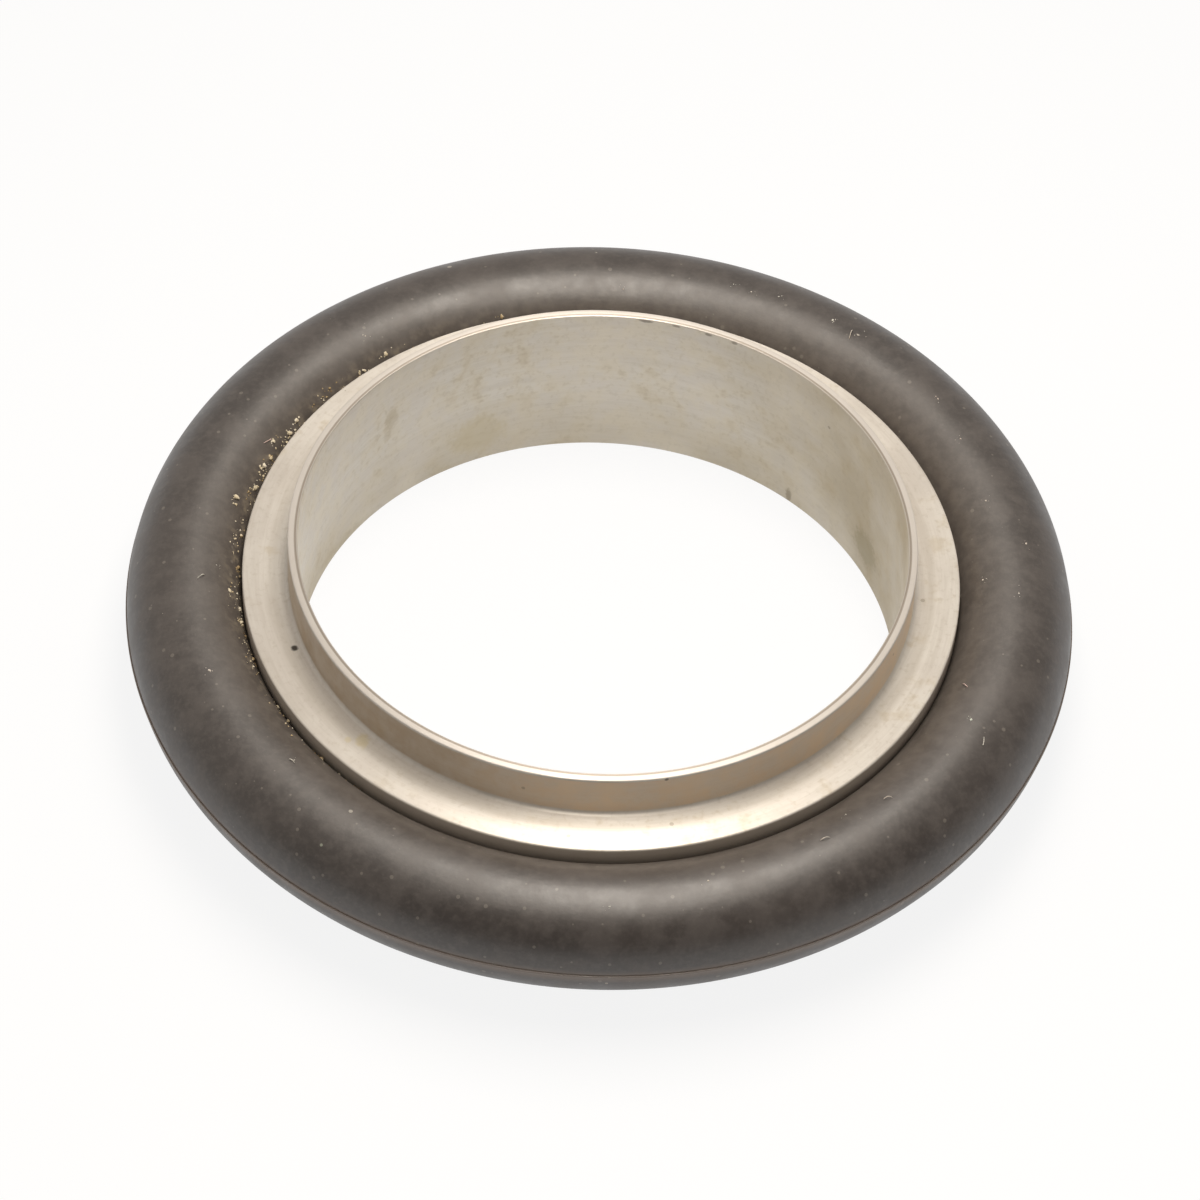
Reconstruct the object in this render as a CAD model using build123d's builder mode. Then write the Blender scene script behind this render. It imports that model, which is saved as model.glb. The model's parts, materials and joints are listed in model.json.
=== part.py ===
"""KF centering ring, size 25: a turned stainless steel ring that lines up two
vacuum flanges, with a rubber O-ring stretched into a shallow groove round it.

Millimetres. The ring's axis is Z, and the origin is on the axis, half way up.
Both halves are alike, so either rim may go into either flange.
"""
import os

from build123d import *

# Turned ring: a thin sleeve whose two ends are the spigots, with a band round its middle
spigot_diameter = 26.0   # goes into the recess of each flange
spigot_wall = 0.4        # from the bore to the outside of a spigot
spigot_length = 2.05     # from a band face to its rim
band_height = 3.9        # between the two faces that stop the flanges
band_step = 1.9          # how far the band stands out from the spigots
root_slope = 0.12        # what the tool's nose leaves where a spigot meets a band face
rim_break = 0.06         # edge break on both edges of each rim
band_break = 0.1         # edge break on the band's two outer corners

# O-ring: one moulded cord, with the fine flash that its two mould halves leave
cord_diameter = 5.0
seat_depth = 0.2         # how far the cord sinks into the band
seat_clearance = 0.01    # between the cord and the groove that it lies in
flash_width = 0.14       # along the axis
flash_height = 0.05      # out from the cord

# Worked out from the sizes above
spigot_radius = spigot_diameter / 2
bore_radius = spigot_radius - spigot_wall
band_radius = spigot_radius + band_step
ring_height = band_height + 2 * spigot_length
cord_radius = cord_diameter / 2
cord_centre_radius = band_radius - seat_depth + cord_radius

os.makedirs("parts", exist_ok=True)

with BuildPart() as centering_ring:
    with BuildSketch(Plane.XZ) as ring_section:
        with Locations((bore_radius, 0)):
            Rectangle(spigot_wall, ring_height, align=(Align.MIN, Align.CENTER))
            Rectangle(spigot_wall + band_step, band_height, align=(Align.MIN, Align.CENTER))

        # Slopes in the two inner corners, then edge breaks on the rims and the band
        spigot_corners = ring_section.vertices().group_by(Axis.X)[1]
        chamfer(spigot_corners.sort_by(lambda corner: abs(corner.Y))[:2], root_slope)
        chamfer(ring_section.vertices().group_by(Axis.Y)[0], rim_break)
        chamfer(ring_section.vertices().group_by(Axis.Y)[-1], rim_break)
        chamfer(ring_section.vertices().group_by(Axis.X)[-1], band_break)

        # The groove follows the cord, so the cord lies in it over its whole width
        with Locations((cord_centre_radius, 0)):
            Circle(cord_radius + seat_clearance, mode=Mode.SUBTRACT)
    revolve(axis=Axis.Z)

with BuildPart() as o_ring:
    with BuildSketch(Plane.XZ):
        with Locations((cord_centre_radius, 0)):
            Circle(cord_radius)
        # The flash runs round the outside, where the two halves of the mould met
        with Locations((cord_centre_radius + cord_radius + flash_height, 0)):
            Rectangle(2 * flash_height, flash_width, align=(Align.MAX, Align.CENTER))
    revolve(axis=Axis.Z)

centering_ring.part.label = "centering_ring"
export_step(centering_ring.part, "parts/centering_ring.step")

o_ring.part.label = "o_ring"
export_step(o_ring.part, "parts/o_ring.step")
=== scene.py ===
"""Looks of the centering ring: turned steel, dusty rubber and the dirt that lies on them.

The CAD frame gives every size. The ring's axis is Z and its centre is the origin, in metres.
Places on the ring are given as on the bench: an azimuth in degrees from +X towards +Y,
with the camera on the -Y side, and radii and heights in millimetres.
"""
import json
import math
import random

import bmesh
import bpy
from mathutils import Matrix, Vector


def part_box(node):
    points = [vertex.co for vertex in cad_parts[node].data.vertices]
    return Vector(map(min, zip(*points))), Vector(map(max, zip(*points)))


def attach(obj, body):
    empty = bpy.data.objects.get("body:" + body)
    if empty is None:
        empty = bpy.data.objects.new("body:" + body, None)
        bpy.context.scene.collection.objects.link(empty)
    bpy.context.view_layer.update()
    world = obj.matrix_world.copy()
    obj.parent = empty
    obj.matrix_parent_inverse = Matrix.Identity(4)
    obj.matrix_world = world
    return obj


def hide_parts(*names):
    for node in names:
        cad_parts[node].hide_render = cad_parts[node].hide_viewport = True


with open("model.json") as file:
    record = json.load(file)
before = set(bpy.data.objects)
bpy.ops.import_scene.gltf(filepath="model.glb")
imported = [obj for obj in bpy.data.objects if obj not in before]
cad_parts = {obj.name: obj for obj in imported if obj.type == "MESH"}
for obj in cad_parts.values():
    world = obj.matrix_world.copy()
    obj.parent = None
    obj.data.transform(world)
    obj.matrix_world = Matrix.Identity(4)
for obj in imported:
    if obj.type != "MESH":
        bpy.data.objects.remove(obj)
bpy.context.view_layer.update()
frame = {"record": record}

MM = 0.001
FULL_TURN = 2 * math.pi

# ---------------------------------------------------------------- sizes, read from the frame
mounts = {mount["name"]: mount for mount in frame["record"]["mounts"]}
ring_low, ring_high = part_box("centering_ring")
cord_low, cord_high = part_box("o_ring")

BORE_RADIUS = mounts["bore"]["dims"]["r_mm"] * MM
SPIGOT_RADIUS = mounts["upper_spigot"]["dims"]["r_mm"] * MM
BAND_TOP = mounts["upper_stop_face"]["pos_m"][2]
BAND_RADIUS = ring_high.x
RIM_TOP = ring_high.z
FLOOR_GAP = 0.01 * MM  # keeps the lower rim and the floor from sharing one plane
FLOOR_LEVEL = ring_low.z - FLOOR_GAP

FLASH_HEIGHT = 0.05 * MM
FLASH_WIDTH = 0.14 * MM
CORD_RADIUS = cord_high.z
CORD_CENTRE = cord_high.x - FLASH_HEIGHT - CORD_RADIUS

# Finer forms than the CAD solids carry
ROOT_RADIUS = 0.20 * MM
RIM_BREAK = 0.06 * MM
BAND_BREAK = 0.09 * MM
SEAT_CLEARANCE = 0.01 * MM
RING_STEPS = 384      # round the ring
CORD_STEPS = 320      # round the ring, on the cord
CORD_SEGMENTS = 96    # round the cord
GROOVE_STEPS = 16
WELD = 1e-7           # metres; points closer than this are one

# Crumbs of dried residue in the crevice between the cord and the band: azimuth, tube angle, size
NAMED_CRUMBS = [
    (108.7, 139, 0.13), (129.5, 137, 0.15), (134.2, 141, 0.13), (135.4, 144, 0.08), (141.3, 136, 0.12),
    (142.6, 141, 0.08), (150.0, 137, 0.17), (151.2, 143, 0.10), (152.5, 141, 0.16), (154.0, 145, 0.12),
    (156.0, 133, 0.14), (158.6, 141, 0.16), (160.8, 139, 0.20), (162.3, 144, 0.13), (165.3, 142, 0.17),
    (166.9, 137, 0.10), (169.5, 127, 0.20), (175.4, 145, 0.14), (176.8, 139, 0.08), (181.7, 148, 0.15),
    (188.0, 135, 0.12), (190.5, 148, 0.15), (193.3, 147, 0.17), (196.0, 149, 0.10), (200.9, 149, 0.16),
    (203.0, 143, 0.08), (211.3, 150, 0.13), (214.5, 151, 0.16), (223.6, 151, 0.14), (231.0, 151, 0.06),
]
CRUMBS_NEAR_EACH = 5
LOOSE_CRUMBS = 170
CREVICE_END = 151     # tube angle in degrees; past it the band hides the cord
# Light flecks that lie on the cord: azimuth, tube angle, size
NAMED_FLECKS = [
    (204.4, 90, 0.10), (224.0, 106, 0.05), (273.3, 71, 0.06), (286.4, 89, 0.07), (333.8, 94, 0.09),
    (309.0, 111, 0.05), (358.1, 88, 0.06), (1.5, 123, 0.07), (7.3, 77, 0.08), (16.0, 104, 0.06),
    (28.2, 97, 0.06), (36.3, 88, 0.07), (52.6, 88, 0.09), (57.2, 87, 0.09), (66.0, 88, 0.07),
    (70.0, 94, 0.06), (72.9, 91, 0.06), (89.0, 118, 0.05), (131.0, 112, 0.06), (184.0, 120, 0.05),
]
FLECKS_NEAR_EACH = 4
# Short fibres on the cord: azimuth, tube angle, length, turn in the surface
NAMED_FIBRES = [
    (303.8, 95, 0.42, 80), (315.2, 99, 0.36, 60), (331.6, 73, 0.40, 115), (224.0, 103, 0.30, 100),
    (53.5, 92, 0.50, 20), (187.0, 104, 0.40, 40), (156.8, 128, 0.45, 70), (340.0, 118, 0.35, 150),
]


def on_ring(azimuth, radius, height):
    """A point in metres from an azimuth in degrees and a radius and height in millimetres."""
    turn = math.radians(azimuth)
    return Vector((radius * MM * math.cos(turn), radius * MM * math.sin(turn), height * MM))


def on_cord(azimuth, tube_angle, lift=0.0):
    """A point on the cord: tube_angle is 0 outwards and 90 on top, lift is millimetres off it."""
    tube = math.radians(tube_angle)
    reach = CORD_RADIUS / MM + lift
    radius = CORD_CENTRE / MM + reach * math.cos(tube)
    return on_ring(azimuth, radius, reach * math.sin(tube))


# Marks on the steel: centre, radius in mm, how the offset is stretched, colour and strength
STEEL_SPOTS = [
    (on_ring(202.8, 13.42, 1.95), 0.17, (1.0, 1.0, 1.0), (0.035, 0.028, 0.022), 0.95),
    (on_ring(226.9, 13.55, 1.95), 0.30, (1.0, 0.7, 1.0), (0.60, 0.50, 0.24), 0.40),
    (on_ring(225.2, 13.95, 1.95), 0.16, (1.0, 1.0, 1.0), (0.60, 0.50, 0.24), 0.35),
    (on_ring(267.0, 14.25, 1.95), 0.10, (1.0, 1.0, 1.0), (0.30, 0.24, 0.17), 0.45),
    (on_ring(137.5, 12.60, 1.25), 0.42, (1.0, 1.0, 0.6), (0.42, 0.35, 0.24), 0.34),
    (on_ring(138.6, 12.60, 0.35), 0.25, (1.0, 1.0, 0.6), (0.42, 0.35, 0.24), 0.25),
    (on_ring(27.0, 12.60, -2.3), 1.00, (1.0, 0.8, 1.0), (0.33, 0.28, 0.17), 0.50),
    (on_ring(51.0, 12.60, -3.6), 0.20, (1.0, 1.0, 0.45), (0.26, 0.21, 0.14), 0.60),
    (on_ring(117.0, 12.60, -2.4), 1.20, (0.8, 1.0, 1.0), (0.55, 0.47, 0.30), 0.40),
    (on_ring(84.0, 12.60, 3.90), 0.10, (0.3, 1.0, 1.0), (0.16, 0.13, 0.10), 0.65),
    (on_ring(78.0, 12.60, 3.90), 0.09, (0.4, 1.0, 1.0), (0.16, 0.13, 0.10), 0.60),
    (on_ring(71.5, 12.60, 3.88), 0.09, (0.4, 1.0, 1.0), (0.16, 0.13, 0.10), 0.60),
    (on_ring(66.0, 12.60, 3.90), 0.10, (0.5, 1.0, 1.0), (0.16, 0.13, 0.10), 0.55),
    (on_ring(283.5, 13.00, 3.88), 0.09, (1.0, 1.0, 1.0), (0.12, 0.10, 0.08), 0.75),
]


class Nodes:
    """Short ways to add and join shader nodes in one tree."""

    def __init__(self, tree):
        self.tree = tree

    def clear(self):
        self.tree.nodes.clear()

    def add(self, kind, inputs=None, **settings):
        name = kind if kind.startswith("NodeGroup") else "ShaderNode" + kind
        node = self.tree.nodes.new(name)
        for name, value in settings.items():
            setattr(node, name, value)
        for key, value in (inputs or {}).items():
            self.feed(node.inputs[key], value)
        return node

    def feed(self, socket, value):
        if isinstance(value, bpy.types.NodeSocket):
            self.tree.links.new(value, socket)
        elif isinstance(value, tuple) and len(value) == 3 and socket.type == "RGBA":
            socket.default_value = (*value, 1.0)
        else:
            socket.default_value = value

    def math(self, operation, a, b=0.0, c=0.0, clamp=False):
        node = self.add("Math", {0: a, 1: b, 2: c}, operation=operation, use_clamp=clamp)
        return node.outputs[0]

    def vector(self, operation, a, b=(0, 0, 0)):
        node = self.add("VectorMath", {0: a, 1: b}, operation=operation)
        return node.outputs["Value" if operation in ("DISTANCE", "LENGTH", "DOT_PRODUCT") else "Vector"]

    def step(self, value, low, high, out_low=0.0, out_high=1.0):
        """A smooth step from out_low at low to out_high at high."""
        node = self.add(
            "MapRange",
            {"Value": value, "From Min": low, "From Max": high, "To Min": out_low, "To Max": out_high},
            interpolation_type="SMOOTHSTEP",
        )
        return node.outputs["Result"]

    def placed(self, group, inputs):
        """A shared node group put in this tree; returns its outputs."""
        node = self.tree.nodes.new("ShaderNodeGroup")
        node.node_tree = group
        for key, value in inputs.items():
            self.feed(node.inputs[key], value)
        return node.outputs

    def noise(self, vector, scale, detail=3.0, roughness=0.5):
        node = self.add("TexNoise", {
            "Vector": vector, "Scale": scale, "Detail": detail, "Roughness": roughness,
        })
        return node.outputs["Fac"]

    def ramp(self, value, stops, low=0.0, high=1.0):
        """Colours along a value, which is first taken from low..high to 0..1."""
        scaled = self.add("MapRange", {"Value": value, "From Min": low, "From Max": high})
        node = self.add("ValToRGB", {"Fac": scaled.outputs["Result"]})
        elements = node.color_ramp.elements
        while len(elements) > 1:
            elements.remove(elements[-1])
        for index, (position, colour) in enumerate(stops):
            element = elements[0] if index == 0 else elements.new(position)
            element.position = position
            element.color = (*colour, 1.0)
        return node.outputs["Color"]

    def mix(self, factor, a, b, blend="MIX"):
        node = self.add("Mix", data_type="RGBA", blend_type=blend)
        self.feed(node.inputs["Factor"], factor)
        self.feed(node.inputs[6], a)
        self.feed(node.inputs[7], b)
        return node.outputs[2]


# ---------------------------------------------------------------- camera, light, floor
def add_camera():
    """The ring seen from 49 degrees above, from 226 mm away, leaning 3 degrees to the right."""
    distance, elevation, lean = 226.4 * MM, math.radians(48.9), math.radians(3.1)
    data = bpy.data.cameras.new("camera")
    data.lens = 162.6
    data.sensor_width = 36.0
    data.clip_start = 0.01
    camera = bpy.data.objects.new("camera", data)
    bpy.context.scene.collection.objects.link(camera)
    turn = Matrix.Rotation(math.pi / 2 - elevation, 4, "X") @ Matrix.Rotation(lean, 4, "Z")
    place = Vector((0, -distance * math.cos(elevation), distance * math.sin(elevation)))
    camera.matrix_world = Matrix.Translation(place) @ turn
    bpy.context.scene.camera = camera


PANEL_TILT = 30       # degrees, towards the camera
PANEL_POWER = 0.126   # watts
FLOOR_GLOW = 0.87     # share of the floor that is seen as plain white, the rest keeps the shadow


def add_light():
    """A small light panel close above the ring, a little to the right, tilted towards the camera."""
    light = bpy.data.lights.new("near_panel", "AREA")
    light.shape = "RECTANGLE"
    light.size, light.size_y = 38 * MM, 100 * MM
    light.energy = PANEL_POWER
    light.color = (1.0, 0.925, 0.83)
    lamp = bpy.data.objects.new("near_panel", light)
    lamp.location = (6 * MM, -1 * MM, 108 * MM)
    lamp.rotation_euler = (math.radians(-PANEL_TILT), 0, 0)
    bpy.context.scene.collection.objects.link(lamp)


def add_world():
    """A pale room, dim on the camera's side, that the camera itself sees as white."""
    world = bpy.data.worlds.new("studio")
    bpy.context.scene.world = world
    world.use_nodes = True
    tree = Nodes(world.node_tree)
    tree.clear()
    direction = tree.add("TexCoord").outputs["Generated"]
    parts = tree.add("SeparateXYZ", {"Vector": direction})
    bearing = tree.math("MULTIPLY_ADD", parts.outputs["X"], -0.45, parts.outputs["Y"])
    towards_back = tree.ramp(bearing, [(0.0, (0.15, 0.14, 0.13)), (1.0, (0.62, 0.58, 0.53))], -0.6, 0.5)
    room = tree.add("Background", {"Color": towards_back, "Strength": 1.0})
    white = tree.add("Background", {"Color": (1, 1, 1, 1), "Strength": 1.0})
    seen = tree.add("LightPath").outputs["Is Camera Ray"]
    both = tree.add("MixShader", {0: seen, 1: room.outputs[0], 2: white.outputs[0]})
    tree.add("OutputWorld", {"Surface": both.outputs[0]})


def add_floor():
    """A wide white sheet just under the ring's lower rim. It keeps the ring's soft shadow."""
    bm = bmesh.new()
    bmesh.ops.create_grid(bm, x_segments=1, y_segments=1, size=2.0)
    bmesh.ops.translate(bm, vec=(0, 0, FLOOR_LEVEL), verts=bm.verts)
    floor = new_object("floor", bm)
    material = bpy.data.materials.new("white_paper")
    material.use_nodes = True
    tree = Nodes(material.node_tree)
    tree.clear()
    paper = tree.add("BsdfDiffuse", {"Color": (0.90, 0.895, 0.885)})
    path = tree.add("LightPath")
    glow = tree.add("Emission", {"Color": (1.0, 1.0, 1.0), "Strength": 1.0})
    seen = tree.math("MAXIMUM", path.outputs["Is Camera Ray"], path.outputs["Is Glossy Ray"])
    seen = tree.math("MAXIMUM", seen, path.outputs["Is Transmission Ray"])
    share = tree.math("MULTIPLY", seen, FLOOR_GLOW)
    both = tree.add("MixShader", {0: share, 1: paper.outputs[0], 2: glow.outputs[0]})
    tree.add("OutputMaterial", {"Surface": both.outputs[0]})
    floor.data.materials.append(material)


# ---------------------------------------------------------------- meshes
def new_object(name, bm, smooth_angle=None):
    """Turns a finished bmesh into an object at the origin, smooth up to an angle."""
    mesh = bpy.data.meshes.new(name)
    bm.to_mesh(mesh)
    bm.free()
    piece = bpy.data.objects.new(name, mesh)
    bpy.context.scene.collection.objects.link(piece)
    if smooth_angle is not None:
        mesh.polygons.foreach_set("use_smooth", [True] * len(mesh.polygons))
        mesh.set_sharp_from_angle(angle=math.radians(smooth_angle))
    return piece


def loop_of(bm, points):
    """A closed wire loop of vertices in the XZ plane, from (radius, height) pairs."""
    verts = [bm.verts.new((radius, 0, height)) for radius, height in points]
    for start, end in zip(verts, verts[1:] + verts[:1]):
        bm.edges.new((start, end))
    return verts


def round_corners(bm, corners, amount, segments):
    bmesh.ops.bevel(
        bm, geom=corners, offset=amount, offset_type="OFFSET", segments=segments,
        profile=0.5, affect="VERTICES", material=-1,
    )


def spin_round(bm, steps):
    """Turns the profile about the ring's axis into a closed body whose faces point outwards."""
    bmesh.ops.spin(
        bm, geom=bm.verts[:] + bm.edges[:], cent=(0, 0, 0), axis=(0, 0, 1),
        dvec=(0, 0, 0), angle=FULL_TURN, steps=steps, use_merge=True, use_duplicate=False,
    )
    bmesh.ops.remove_doubles(bm, verts=bm.verts, dist=WELD)
    bmesh.ops.recalc_face_normals(bm, faces=bm.faces)


def groove_points(count):
    """Points of the shallow groove, from its upper edge to its lower one."""
    reach = CORD_RADIUS + SEAT_CLEARANCE
    half_angle = math.acos((CORD_CENTRE - BAND_RADIUS) / reach)
    angles = [half_angle * (1 - 2 * step / count) for step in range(count + 1)]
    return [(CORD_CENTRE - reach * math.cos(a), reach * math.sin(a)) for a in angles]


def make_turned_ring(material):
    """The steel ring: sleeve, band, root radii, edge breaks and groove in one turned profile."""
    bm = bmesh.new()
    upper = [
        (BORE_RADIUS, RIM_TOP), (SPIGOT_RADIUS, RIM_TOP), (SPIGOT_RADIUS, BAND_TOP), (BAND_RADIUS, BAND_TOP),
    ]
    lower = [(radius, -height) for radius, height in reversed(upper)]
    verts = loop_of(bm, upper + groove_points(GROOVE_STEPS) + lower)
    rims = [v for v in verts if abs(v.co.z) > BAND_TOP + ROOT_RADIUS]
    at_faces = [v for v in verts if abs(abs(v.co.z) - BAND_TOP) < WELD]
    bands = [v for v in at_faces if v.co.x > SPIGOT_RADIUS + ROOT_RADIUS]
    roots = [v for v in at_faces if v not in bands]
    round_corners(bm, roots, ROOT_RADIUS, 8)
    round_corners(bm, rims, RIM_BREAK, 3)
    round_corners(bm, bands, BAND_BREAK, 3)
    spin_round(bm, RING_STEPS)
    piece = new_object("turned_ring", bm, smooth_angle=32)
    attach(piece, "root")
    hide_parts("centering_ring")
    piece.data.materials.append(material)


def make_rubber_cord(material):
    """The O-ring: a round cord with the flash of its mould round the outside."""
    bm = bmesh.new()
    made = bmesh.ops.create_circle(bm, segments=CORD_SEGMENTS, radius=CORD_RADIUS, cap_ends=False)
    stand_up = Matrix.Translation((CORD_CENTRE, 0, 0)) @ Matrix.Rotation(math.pi / 2, 4, "X")
    bmesh.ops.transform(bm, matrix=stand_up, verts=made["verts"])
    outermost = max(bm.verts, key=lambda v: v.co.x)
    neighbours = {e.other_vert(outermost) for e in outermost.link_edges}
    bmesh.ops.bevel(
        bm, geom=[outermost], offset=FLASH_WIDTH / 2, offset_type="OFFSET", segments=1,
        profile=0.5, affect="VERTICES", material=-1,
    )
    foot = [v for v in bm.verts if any(e.other_vert(v) in neighbours for e in v.link_edges)]
    foot = sorted((v for v in foot if v not in neighbours), key=lambda v: -v.co.x)[:2]
    base = next(e for e in bm.edges if set(e.verts) == set(foot))
    grown = bmesh.ops.extrude_edge_only(bm, edges=[base])["geom"]
    crest = [item for item in grown if isinstance(item, bmesh.types.BMVert)]
    bmesh.ops.translate(bm, vec=(FLASH_HEIGHT, 0, 0), verts=crest)
    bmesh.ops.delete(bm, geom=list(bm.faces), context="FACES_KEEP_BOUNDARY")
    for edge in list(bm.edges):
        if set(edge.verts) == set(foot):
            bm.edges.remove(edge)
    round_corners(bm, crest, FLASH_HEIGHT * 0.45, 2)
    spin_round(bm, CORD_STEPS)
    piece = new_object("rubber_cord", bm, smooth_angle=40)
    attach(piece, "root")
    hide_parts("o_ring")
    piece.data.materials.append(material)


# ---------------------------------------------------------------- dirt that lies on the ring
def cord_frame(azimuth, tube_angle, lift):
    """A turned place on the cord: X runs round the ring, Y round the cord and Z off its surface."""
    turn, tube = math.radians(azimuth), math.radians(tube_angle)
    outwards = Vector((math.cos(turn), math.sin(turn), 0))
    off = outwards * math.cos(tube) + Vector((0, 0, math.sin(tube)))
    along = Vector((-math.sin(turn), math.cos(turn), 0))
    across = off.cross(along)
    frame_matrix = Matrix((along, across, off)).transposed().to_4x4()
    return Matrix.Translation(on_cord(azimuth, tube_angle, lift)) @ frame_matrix


def add_lump(bm, where, size, flatness, draw, detail=1):
    """A closed, ragged lump: a small ball with its points pushed in and out."""
    squash = Matrix.Diagonal((draw.uniform(0.8, 1.3), draw.uniform(0.7, 1.1), flatness, 1))
    turn = Matrix.Rotation(draw.uniform(0, FULL_TURN), 4, "Z")
    made = bmesh.ops.create_icosphere(bm, subdivisions=detail, radius=size * MM / 2)
    for vert in made["verts"]:
        vert.co *= draw.uniform(0.72, 1.22)
    bmesh.ops.transform(bm, matrix=where @ turn @ squash, verts=made["verts"])


def add_fibre(bm, where, length, turn, draw):
    """A short bent fibre, thinner at both ends."""
    made = bmesh.ops.create_cone(
        bm, cap_ends=True, cap_tris=True, segments=8,
        radius1=0.018 * MM, radius2=0.012 * MM, depth=length * MM,
    )
    bmesh.ops.subdivide_edges(
        bm, edges=[e for e in {e for v in made["verts"] for e in v.link_edges} if abs(
            e.verts[0].co.z - e.verts[1].co.z) > length * MM / 2], cuts=5)
    verts = [v for v in bm.verts if v.is_valid and not v.tag]
    bend = draw.uniform(0.15, 0.35)
    for vert in verts:
        along = vert.co.z / (length * MM / 2)
        vert.co.x += bend * length * MM * (1 - along * along)
        vert.tag = True
    lay_down = Matrix.Rotation(math.radians(turn), 4, "Z") @ Matrix.Rotation(math.pi / 2, 4, "X")
    bmesh.ops.transform(bm, matrix=where @ lay_down @ Matrix.Rotation(math.pi / 2, 4, "Z"), verts=verts)


def finish_dirt(name, bm, material):
    bmesh.ops.recalc_face_normals(bm, faces=bm.faces)
    piece = new_object(name, bm, smooth_angle=60)
    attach(piece, "root")
    piece.data.materials.append(material)


def make_crevice_crumbs(material):
    """Dried residue along the left of the crevice, where the cord meets the band."""
    draw = random.Random(25)
    bm = bmesh.new()
    for azimuth, tube_angle, size in NAMED_CRUMBS:
        add_lump(bm, cord_frame(azimuth, tube_angle, size * 0.22), size * 1.25, 0.6, draw, detail=2)
        for _ in range(CRUMBS_NEAR_EACH):
            near = (azimuth + draw.gauss(0, 0.8), min(CREVICE_END, tube_angle + draw.gauss(0, 2.0)))
            add_lump(bm, cord_frame(*near, 0.01), size * draw.uniform(0.3, 0.75), 0.6, draw)
    for _ in range(LOOSE_CRUMBS):
        azimuth = draw.triangular(100, 238, 165)
        tube_angle = min(CREVICE_END, draw.gauss(144, 5))
        add_lump(bm, cord_frame(azimuth, tube_angle, 0.01), draw.uniform(0.03, 0.10), 0.6, draw)
    finish_dirt("crevice_crumbs", bm, material)


def make_cord_lint(material):
    """Light flecks and short fibres on top of the cord."""
    draw = random.Random(40)
    bm = bmesh.new()
    for azimuth, tube_angle, length, turn in NAMED_FIBRES:
        add_fibre(bm, cord_frame(azimuth, tube_angle, 0.012), length, turn, draw)
    for azimuth, tube_angle, size in NAMED_FLECKS:
        add_lump(bm, cord_frame(azimuth, tube_angle, 0.01), size * 1.3, 0.45, draw)
        for _ in range(FLECKS_NEAR_EACH):
            near = (azimuth + draw.gauss(0, 0.5), tube_angle + draw.gauss(0, 3.0))
            add_lump(bm, cord_frame(*near, 0.005), size * draw.uniform(0.3, 0.6), 0.4, draw)
    finish_dirt("cord_lint", bm, material)


# ---------------------------------------------------------------- effects that the materials share
def new_group(name, inputs, outputs):
    """An empty shader node group; inputs and outputs are (name, kind of socket) pairs."""
    group = bpy.data.node_groups.new(name, "ShaderNodeTree")
    for label, kind in inputs:
        group.interface.new_socket(name=label, in_out="INPUT", socket_type="NodeSocket" + kind)
    for label, kind in outputs:
        group.interface.new_socket(name=label, in_out="OUTPUT", socket_type="NodeSocket" + kind)
    tree = Nodes(group)
    return group, tree, tree.add("NodeGroupInput").outputs, tree.add("NodeGroupOutput").inputs


def make_ring_places():
    """Where a point is on the ring: its radius and height in millimetres, and its direction."""
    group, tree, given, result = new_group(
        "ring_places", [("Place", "Vector")],
        [("Radius", "Float"), ("Height", "Float"), ("Towards X", "Float"), ("Towards Y", "Float")],
    )
    flat = tree.vector("MULTIPLY", given["Place"], (1, 1, 0))
    towards = tree.add("SeparateXYZ", {"Vector": tree.vector("NORMALIZE", flat)})
    height = tree.add("SeparateXYZ", {"Vector": given["Place"]}).outputs["Z"]
    tree.feed(result["Radius"], tree.math("MULTIPLY", tree.vector("LENGTH", flat), 1 / MM))
    tree.feed(result["Height"], tree.math("MULTIPLY", height, 1 / MM))
    tree.feed(result["Towards X"], towards.outputs["X"])
    tree.feed(result["Towards Y"], towards.outputs["Y"])
    return group


def make_turning_marks(ring_places):
    """Fine lines that run round the ring, Across per millimetre, and change slowly along it."""
    group, tree, given, result = new_group(
        "turning_marks", [("Place", "Vector"), ("Across", "Float"), ("Along", "Float")],
        [("Marks", "Float")],
    )
    ring = tree.placed(ring_places, {"Place": given["Place"]})
    lines = tree.add("CombineXYZ", {
        "X": tree.math("MULTIPLY", ring["Radius"], given["Across"]),
        "Y": tree.math("MULTIPLY", ring["Height"], given["Across"]),
        "Z": tree.math("MULTIPLY", ring["Towards X"], given["Along"]),
    })
    noise = tree.add("TexNoise", {
        "Vector": lines.outputs[0], "W": tree.math("MULTIPLY", ring["Towards Y"], given["Along"]),
        "Scale": 1.0, "Detail": 3.0, "Roughness": 0.6,
    }, noise_dimensions="4D")
    tree.feed(result["Marks"], noise.outputs["Fac"])
    return group


def make_spot():
    """A soft-edged, slightly ragged spot round a centre; Size is its radius in metres."""
    group, tree, given, result = new_group(
        "spot", [("Place", "Vector"), ("Centre", "Vector"), ("Size", "Float"), ("Stretch", "Vector")],
        [("Mask", "Float")],
    )
    offset = tree.vector("SUBTRACT", given["Place"], given["Centre"])
    offset = tree.vector("MULTIPLY", offset, given["Stretch"])
    reach = tree.math("DIVIDE", tree.vector("LENGTH", offset), given["Size"])
    ragged = tree.math("MULTIPLY_ADD", tree.noise(given["Place"], 5000.0, 2.0), 0.9, -0.45)
    tree.feed(result["Mask"], tree.step(tree.math("ADD", reach, ragged), 1.15, 0.55))
    return group


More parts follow.
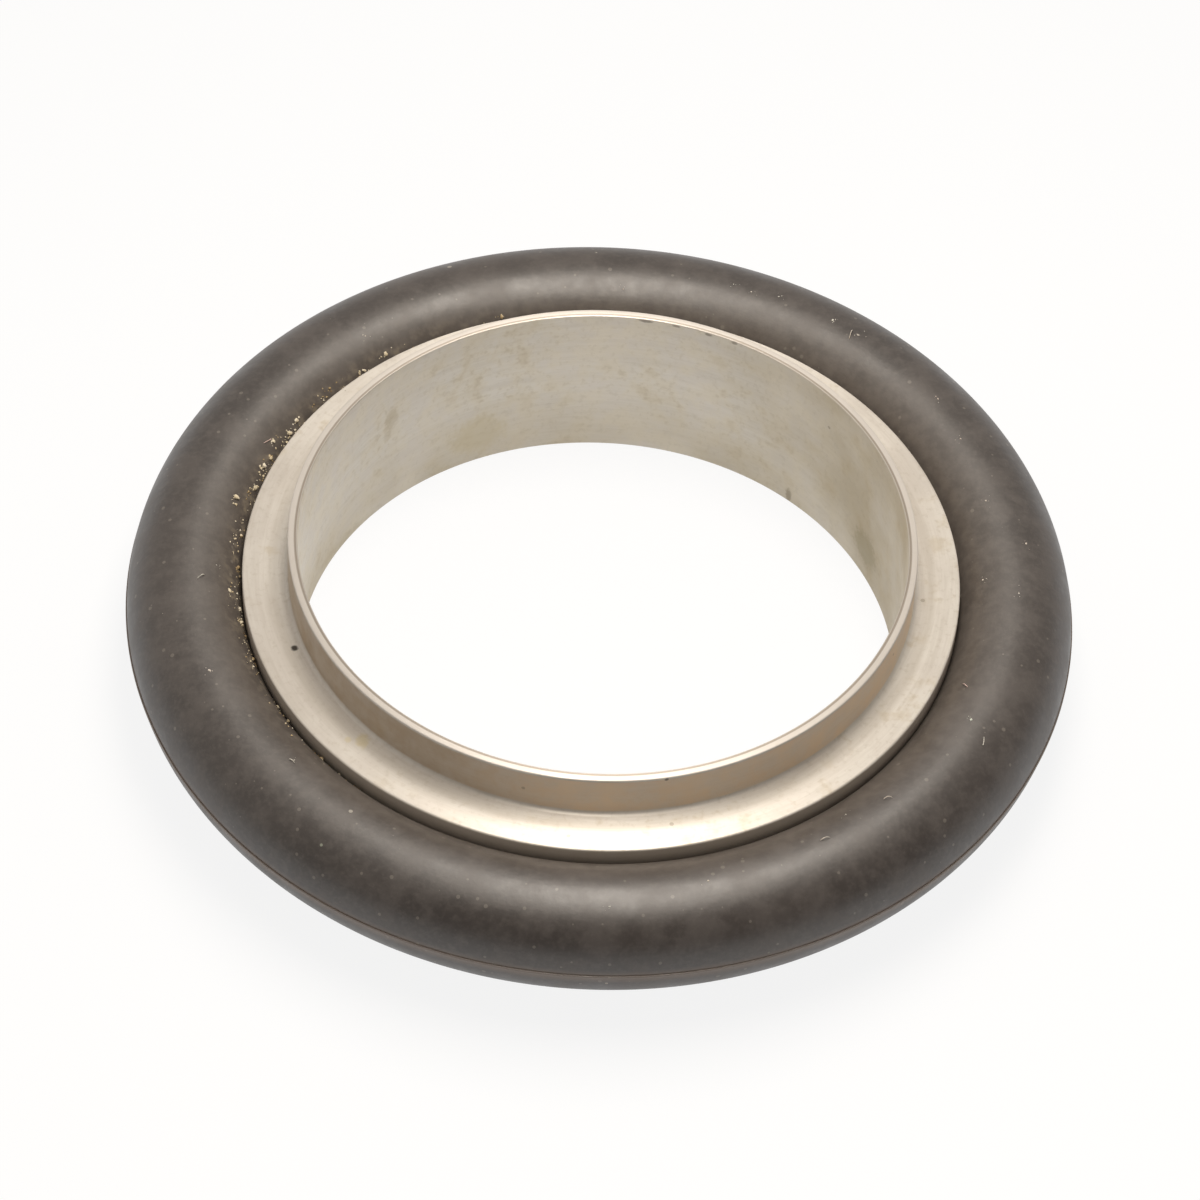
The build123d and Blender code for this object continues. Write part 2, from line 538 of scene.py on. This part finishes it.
def make_dust():
    """Specks, one in each cell of a loose grid, of which Share are kept."""
    group, tree, given, result = new_group(
        "dust", [("Place", "Vector"), ("Cells", "Float"), ("Share", "Float"), ("Size", "Float")],
        [("Mask", "Float"), ("Tone", "Float")],
    )
    cells = tree.add("TexVoronoi", {"Vector": given["Place"], "Scale": given["Cells"], "Randomness": 1.0})
    chance = tree.add("SeparateColor", {"Color": cells.outputs["Color"]})
    kept = tree.math("LESS_THAN", chance.outputs["Red"], given["Share"])
    size = tree.math("MULTIPLY", given["Size"], tree.math("ADD", chance.outputs["Green"], 0.4))
    speck = tree.math("LESS_THAN", cells.outputs["Distance"], size)
    tree.feed(result["Mask"], tree.math("MULTIPLY", kept, speck))
    tree.feed(result["Tone"], chance.outputs["Blue"])
    return group


# ---------------------------------------------------------------- materials
def new_material(name):
    material = bpy.data.materials.new(name)
    material.use_nodes = True
    tree = Nodes(material.node_tree)
    tree.clear()
    return material, tree


def steel_material(effects):
    """Turned stainless steel: lines round the ring, olive and brown stains, a few dark dots."""
    material, tree = new_material("stained_turned_steel")
    place = tree.add("TexCoord").outputs["Object"]
    ring = tree.placed(effects["places"], {"Place": place})
    fine = tree.placed(effects["marks"], {"Place": place, "Across": 8.0, "Along": 9.0})["Marks"]
    broad = tree.placed(effects["marks"], {"Place": place, "Across": 2.6, "Along": 1.6})["Marks"]
    cloud = tree.noise(place, 210.0, 4.0, 0.6)
    mottle = tree.noise(place, 900.0, 3.0, 0.6)
    grain = tree.noise(place, 3600.0, 3.0, 0.65)

    tone = tree.mix(tree.step(cloud, 0.34, 0.68), (0.65, 0.61, 0.56), (0.73, 0.70, 0.65))
    tone = tree.mix(tree.step(broad, 0.35, 0.70, 0.0, 0.20), tone, (0.48, 0.43, 0.37))
    tone = tree.mix(tree.step(fine, 0.42, 0.66, 0.0, 0.17), tone, (0.44, 0.395, 0.335))

    # A shallow duller ring on the face of the band, left by the tool
    above, below = tree.step(ring["Height"], 1.85, 1.93), tree.step(ring["Height"], 2.10, 2.02)
    on_face = tree.math("MULTIPLY", above, below)
    off_middle = tree.math("ABSOLUTE", tree.math("SUBTRACT", ring["Radius"], 13.68))
    dull = tree.math("MULTIPLY", tree.step(off_middle, 0.34, 0.05), on_face)
    tone = tree.mix(tree.math("MULTIPLY", dull, 0.26), tone, (0.44, 0.40, 0.34))

    # Olive-brown tone inside the bore, darker to the right and towards the lower rim
    inside = tree.step(ring["Radius"], 12.75, 12.65)
    low = tree.step(ring["Height"], 0.5, -3.9)
    right = tree.step(ring["Towards X"], 0.25, 0.95)
    bore_low_right = tree.math("MAXIMUM", tree.math("MULTIPLY", low, 0.55), tree.math("MULTIPLY", right, 0.8))
    bore_low_right = tree.math("MULTIPLY", bore_low_right, tree.step(cloud, 0.25, 0.72, 0.35, 1.0))
    tinted = tree.math("MULTIPLY", inside, tree.step(mottle, 0.35, 0.62, 0.15, 0.55))
    tone = tree.mix(tinted, tone, (0.70, 0.635, 0.505))
    tone = tree.mix(tree.math("MULTIPLY", bore_low_right, inside), tone, (0.49, 0.42, 0.295))
    tone = tree.mix(tree.step(grain, 0.50, 0.70, 0.0, 0.22), tone, (0.42, 0.37, 0.30))
    stains = tree.math("MULTIPLY", tree.step(mottle, 0.52, 0.70), tree.step(cloud, 0.42, 0.60))
    tone = tree.mix(tree.math("MULTIPLY", stains, 0.30), tone, (0.49, 0.40, 0.26))

    # Brown film on the outer wall of the spigot, its colour darker on the left as painted shade, and a
    # grey-brown coat on the wall beside the cord as painted light that lifts the crevice's shade
    above, below = tree.step(ring["Height"], 2.05, 2.15), tree.step(ring["Height"], 3.93, 3.85)
    above_face = tree.math("MULTIPLY", above, below)
    spigot_wall = tree.math("MULTIPLY", above_face, tree.step(ring["Radius"], 12.95, 12.98))
    wall_film = tree.math("MULTIPLY", spigot_wall, tree.step(mottle, 0.3, 0.7, 0.55, 1.0))
    # Painted shade: the film's colour turns darker towards the left
    film_tone_shaded_left = tree.mix(tree.step(ring["Towards X"], -0.55, -0.05), (0.50, 0.405, 0.30), (0.78, 0.63, 0.47))
    tone = tree.mix(wall_film, tone, film_tone_shaded_left)
    # Painted light: a grey-brown, partly non-metallic coat on the band's wall beside the cord lifts the shade
    # in the crevice
    outermost, below = tree.step(ring["Radius"], 14.83, 14.88), tree.step(ring["Height"], 1.93, 1.86)
    crevice_wall_painted_light = tree.math("MULTIPLY", outermost, below)
    tone = tree.mix(tree.math("MULTIPLY", crevice_wall_painted_light, 0.8), tone, (0.46, 0.40, 0.34))

    # The flat of the rim toned darker and a thin darker line between it and the bore: painted shade
    off_line = tree.math("ABSOLUTE", tree.math("SUBTRACT", ring["Radius"], 12.70))
    on_rim = tree.step(ring["Height"], 3.95, 3.98)
    rim_shade_line = tree.math("MULTIPLY", tree.step(off_line, 0.06, 0.03), on_rim)
    tone = tree.mix(tree.math("MULTIPLY", on_rim, 0.75), tone, (0.58, 0.545, 0.51))
    tone = tree.mix(tree.math("MULTIPLY", rim_shade_line, 0.75), tone, (0.26, 0.22, 0.18))

    specks = tree.placed(effects["dust"], {"Place": place, "Cells": 1500.0, "Share": 0.020, "Size": 0.11})
    tone = tree.mix(tree.math("MULTIPLY", specks["Mask"], 0.45), tone, (0.24, 0.19, 0.13))
    for centre, size, stretch, colour, strength in STEEL_SPOTS:
        mask = tree.placed(effects["spot"], {
            "Place": place, "Centre": tuple(centre), "Size": size * MM, "Stretch": stretch,
        })["Mask"]
        tone = tree.mix(tree.math("MULTIPLY", mask, strength), tone, colour)

    relief = tree.math("ADD", tree.math("MULTIPLY", fine, 0.6), tree.math("MULTIPLY", broad, 0.4))
    relief = tree.math("MULTIPLY", relief, tree.math("MULTIPLY_ADD", inside, -0.55, 1.0))
    bump = tree.add("Bump", {"Height": relief, "Strength": 0.45, "Distance": 0.00001})
    rough = tree.step(cloud, 0.3, 0.7, 0.42, 0.50)
    rough = tree.math("ADD", rough, tree.math("MULTIPLY", bore_low_right, 0.10))
    # Non-metallic share: dirt, and the painted light on the wall beside the cord
    dirt_and_painted_light = tree.math("MAXIMUM", crevice_wall_painted_light, tree.math("SUBTRACT", 0.45, tree.math("MULTIPLY", inside, 0.3)))
    bare = tree.math("SUBTRACT", 1.0, dirt_and_painted_light)
    shader = tree.add("BsdfPrincipled", {
        "Base Color": tone, "Metallic": bare, "Roughness": rough, "Anisotropic": 0.75,
        "Anisotropic Rotation": 0.25, "Normal": bump.outputs[0],
    })
    tangent = tree.add("Tangent", direction_type="RADIAL", axis="Z")
    tree.feed(shader.inputs["Tangent"], tangent.outputs[0])
    tree.add("OutputMaterial", {"Surface": shader.outputs[0]})
    return material


def rubber_material(effects):
    """Dark brown-grey rubber with the lay of its turned mould, and dust all over it."""
    material, tree = new_material("dusty_seal_rubber")
    place = tree.add("TexCoord").outputs["Object"]
    ring = tree.placed(effects["places"], {"Place": place})
    cloud = tree.noise(place, 150.0, 4.0, 0.6)
    smear = tree.noise(place, 620.0, 4.0, 0.65)
    mottle = tree.noise(place, 2300.0, 3.0, 0.6)
    grain = tree.noise(place, 5200.0, 3.0, 0.6)
    lay = tree.placed(effects["marks"], {"Place": place, "Across": 7.0, "Along": 9.0})["Marks"]

    tone = tree.mix(tree.step(cloud, 0.32, 0.70), (0.036, 0.029, 0.026), (0.048, 0.039, 0.035))
    tone = tree.mix(tree.step(smear, 0.44, 0.64, 0.0, 0.55), tone, (0.078, 0.066, 0.060))
    tone = tree.mix(tree.step(mottle, 0.45, 0.70, 0.0, 0.40), tone, (0.085, 0.073, 0.066))
    tone = tree.mix(tree.step(grain, 0.45, 0.75, 0.0, 0.30), tone, (0.098, 0.085, 0.075))

    # Dust and painted bounce light from the steel lighten the side next to the band; dried residue cakes the
    # crevice, most of all on the left
    next_to_band = tree.step(ring["Radius"], CORD_CENTRE / MM + 0.2, CORD_CENTRE / MM - 1.8)
    dust_and_bounce_light = tree.math("MULTIPLY", next_to_band, tree.step(mottle, 0.3, 0.7, 0.55, 1.0))
    tone = tree.mix(tree.math("MULTIPLY", dust_and_bounce_light, 0.75), tone, (0.118, 0.102, 0.088))
    to_left, not_near = tree.step(ring["Towards X"], -0.2, -0.7), tree.step(ring["Towards Y"], -0.75, -0.45)
    left = tree.math("MULTIPLY", to_left, not_near)
    in_crevice = tree.step(ring["Radius"], CORD_CENTRE / MM - 1.4, CORD_CENTRE / MM - 2.05)
    caked = tree.math("MULTIPLY", tree.math("MULTIPLY", left, in_crevice), tree.step(mottle, 0.46, 0.74))
    tone = tree.mix(tree.math("MULTIPLY", caked, 0.55), tone, (0.27, 0.225, 0.16))

    # Painted light along the mould's parting line: a lighter brown band for the floor's bounce, which also
    # lifts the shade under the flash
    off_line = tree.math("ABSOLUTE", tree.math("ADD", ring["Height"], 0.05))
    outer = tree.step(ring["Radius"], CORD_CENTRE / MM + 2.0, CORD_CENTRE / MM + 2.3)
    parting_line_painted_light = tree.math("MULTIPLY", tree.step(off_line, 0.45, 0.04), outer)
    tone = tree.mix(tree.math("MULTIPLY", parting_line_painted_light, 0.75), tone, (0.16, 0.12, 0.095))

    powder = tree.placed(effects["dust"], {"Place": place, "Cells": 2600.0, "Share": 0.22, "Size": 0.17})
    tone = tree.mix(tree.math("MULTIPLY", powder["Mask"], 0.32), tone, (0.26, 0.235, 0.20))
    specks = tree.placed(effects["dust"], {"Place": place, "Cells": 950.0, "Share": 0.10, "Size": 0.08})
    colours = tree.ramp(specks["Tone"], [
        (0.0, (0.30, 0.27, 0.22)), (0.45, (0.36, 0.34, 0.30)),
        (0.75, (0.24, 0.17, 0.10)), (1.0, (0.28, 0.34, 0.29)),
    ])
    tone = tree.mix(tree.math("MULTIPLY", specks["Mask"], 0.75), tone, colours)

    rough = tree.step(smear, 0.3, 0.7, 0.38, 0.50)
    relief = tree.math("ADD", tree.math("MULTIPLY", grain, 0.35), tree.math("MULTIPLY", lay, 0.25))
    relief = tree.math("ADD", relief, tree.math("MULTIPLY", mottle, 0.7))
    bump = tree.add("Bump", {"Height": relief, "Strength": 0.45, "Distance": 0.00002})
    shader = tree.add("BsdfPrincipled", {
        "Base Color": tone, "Roughness": rough, "Specular IOR Level": 0.85, "Normal": bump.outputs[0],
    })
    tree.add("OutputMaterial", {"Surface": shader.outputs[0]})
    return material


def residue_material(effects):
    """Dried cream to brown residue, dull and grainy."""
    material, tree = new_material("dried_residue")
    place = tree.add("TexCoord").outputs["Object"]
    shade = tree.noise(place, 1300.0, 2.0)
    tone = tree.ramp(shade, [
        (0.0, (0.20, 0.13, 0.06)), (0.35, (0.42, 0.31, 0.16)),
        (0.55, (0.66, 0.57, 0.40)), (1.0, (0.80, 0.75, 0.64)),
    ], 0.30, 0.68)
    grains = tree.placed(effects["dust"], {"Place": place, "Cells": 9000.0, "Share": 0.5, "Size": 0.3})
    tone = tree.mix(tree.math("MULTIPLY", grains["Mask"], 0.35), tone, (0.78, 0.72, 0.60))
    bump = tree.add("Bump", {"Height": tree.noise(place, 16000.0, 2.0), "Strength": 0.5, "Distance": 0.00002})
    rough = tree.step(shade, 0.3, 0.7, 0.75, 0.9)
    shader = tree.add("BsdfPrincipled", {"Base Color": tone, "Roughness": rough, "Normal": bump.outputs[0]})
    tree.add("OutputMaterial", {"Surface": shader.outputs[0]})
    return material


def lint_material(effects):
    """Pale lint and dust flecks, some of them greenish or pink."""
    material, tree = new_material("pale_lint")
    place = tree.add("TexCoord").outputs["Object"]
    shade = tree.noise(place, 420.0, 2.0)
    tone = tree.ramp(shade, [
        (0.0, (0.52, 0.60, 0.52)), (0.4, (0.66, 0.64, 0.58)),
        (0.7, (0.62, 0.54, 0.46)), (1.0, (0.70, 0.52, 0.48)),
    ], 0.32, 0.68)
    grains = tree.placed(effects["dust"], {"Place": place, "Cells": 12000.0, "Share": 0.4, "Size": 0.3})
    tone = tree.mix(tree.math("MULTIPLY", grains["Mask"], 0.3), tone, (0.80, 0.78, 0.74))
    rough = tree.step(shade, 0.3, 0.7, 0.7, 0.9)
    shader = tree.add("BsdfPrincipled", {"Base Color": tone, "Roughness": rough})
    tree.add("OutputMaterial", {"Surface": shader.outputs[0]})
    return material


# ---------------------------------------------------------------- the whole scene
bpy.context.scene.view_settings.view_transform = "Standard"
add_camera()
add_light()
add_world()
add_floor()

ring_places = make_ring_places()
shared_effects = {
    "places": ring_places, "marks": make_turning_marks(ring_places),
    "spot": make_spot(), "dust": make_dust(),
}
make_turned_ring(steel_material(shared_effects))
make_rubber_cord(rubber_material(shared_effects))
make_crevice_crumbs(residue_material(shared_effects))
make_cord_lint(lint_material(shared_effects))
